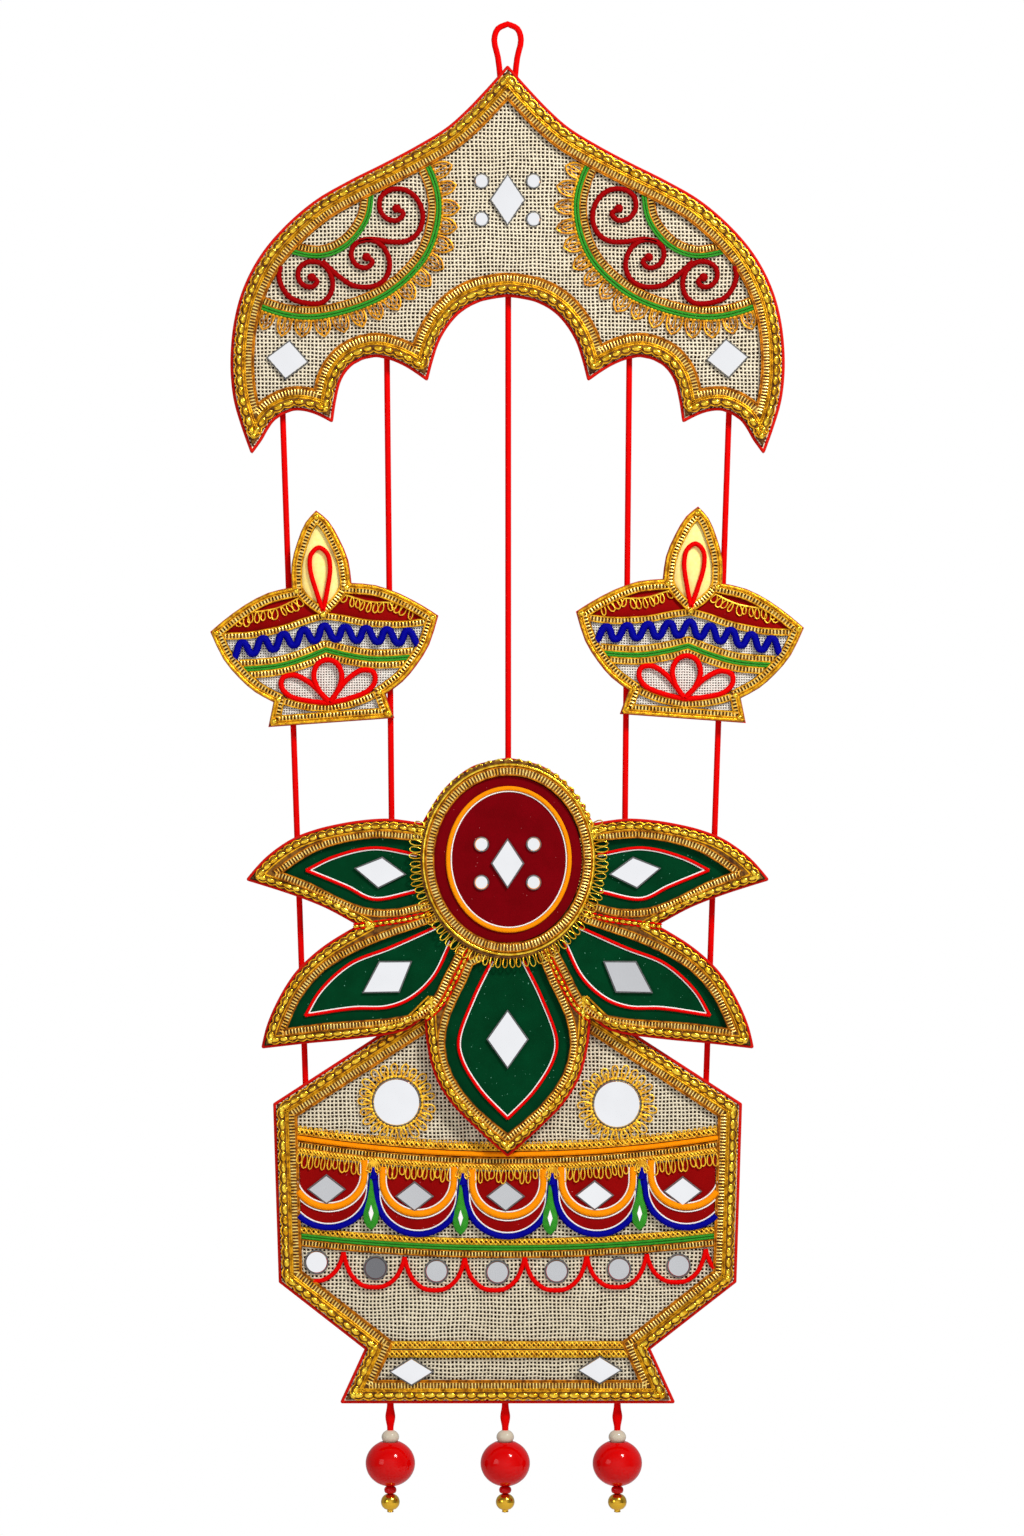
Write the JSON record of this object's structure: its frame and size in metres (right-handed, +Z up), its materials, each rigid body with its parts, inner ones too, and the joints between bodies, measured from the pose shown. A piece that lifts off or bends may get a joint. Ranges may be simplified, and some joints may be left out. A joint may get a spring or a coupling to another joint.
{
  "type": "mirror work wall hanging",
  "caption": "Festive wall hanging: arch, oil lamp, lotus and pot panels in gold braid, jute, velvet and mirror pieces, joined by red cords, with bead drops below.",
  "frame": {"origin": "inside top of the hanging loop, on the loop's middle plane, where a nail or hook carries it", "axes": "+Z up, +X to the right seen from the front, the front faces -Y and the wall is on the +Y side"},
  "size_m": [0.2971, 0.0314, 0.7477],
  "materials": {
    "red_cord": "satin cord",
    "red_cloth": "plain woven cloth over board",
    "jute": "open plain weave",
    "gold_braid": "metallic thread",
    "gold_lace": "metallic thread loops",
    "blue_cord": "matt cord",
    "scroll_cord": "matt cord",
    "green_cord": "satin cord",
    "orange_cord": "satin cord",
    "white_cord": "fine cord",
    "flame_satin": "satin",
    "green_velvet": "velvet",
    "maroon_velvet": "velvet",
    "mirror": "polished",
    "pearl": "pearly",
    "red_bead": "glossy",
    "gold_bead": "polished"
  },
  "bodies": {
    "root": {"hanging_loop": "red_cord", "arch_board": "red_cloth", "arch_jute": "jute", "arch_braid": "gold_braid", "arch_mirror_centre": "mirror", "cord_centre": "red_cord", "lotus_board": "red_cloth", "lotus_velvet": "green_velvet", "lotus_braid": "gold_braid", "lotus_disc": "maroon_velvet", "lotus_disc_ring": "gold_braid", "lotus_mirror_disc": "mirror", "lotus_mirror_centre": "mirror", "pot_board": "red_cloth", "pot_jute": "jute", "pot_braid": "gold_braid", "pot_waist_braid": "gold_braid", "pot_top_band": "gold_lace", "pot_mid_band": "gold_lace", "pot_valance": "maroon_velvet", "arch_medallion_left": "gold_lace", "arch_half_round_left": "gold_lace", "arch_scroll_left": "scroll_cord", "arch_mirror_left": "mirror", "cord_outer_left": "red_cord", "cord_inner_left": "red_cord", "lamp_board_left": "red_cloth", "lamp_jute_left": "jute", "lamp_braid_left": "gold_braid", "lamp_wave_left": "blue_cord", "lotus_mirror_upper_left": "mirror", "lotus_mirror_lower_left": "mirror", "pot_mirror_left": "mirror", "pot_foot_mirror_left": "mirror", "arch_medallion_right": "gold_lace", "arch_half_round_right": "gold_lace", "arch_scroll_right": "scroll_cord", "arch_mirror_right": "mirror", "cord_outer_right": "red_cord", "cord_inner_right": "red_cord", "lamp_board_right": "red_cloth", "lamp_jute_right": "jute", "lamp_braid_right": "gold_braid", "lamp_wave_right": "blue_cord", "lotus_mirror_upper_right": "mirror", "lotus_mirror_lower_right": "mirror", "pot_mirror_right": "mirror", "pot_foot_mirror_right": "mirror", "drop_cord_left": "red_cord", "drop_pearl_left": "pearl", "drop_ball_left": "red_bead", "drop_tail_left": "gold_bead", "drop_cord_centre": "red_cord", "drop_pearl_centre": "pearl", "drop_ball_centre": "red_bead", "drop_tail_centre": "gold_bead", "drop_cord_right": "red_cord", "drop_pearl_right": "pearl", "drop_ball_right": "red_bead", "drop_tail_right": "gold_bead"}
  },
  "joints": []
}
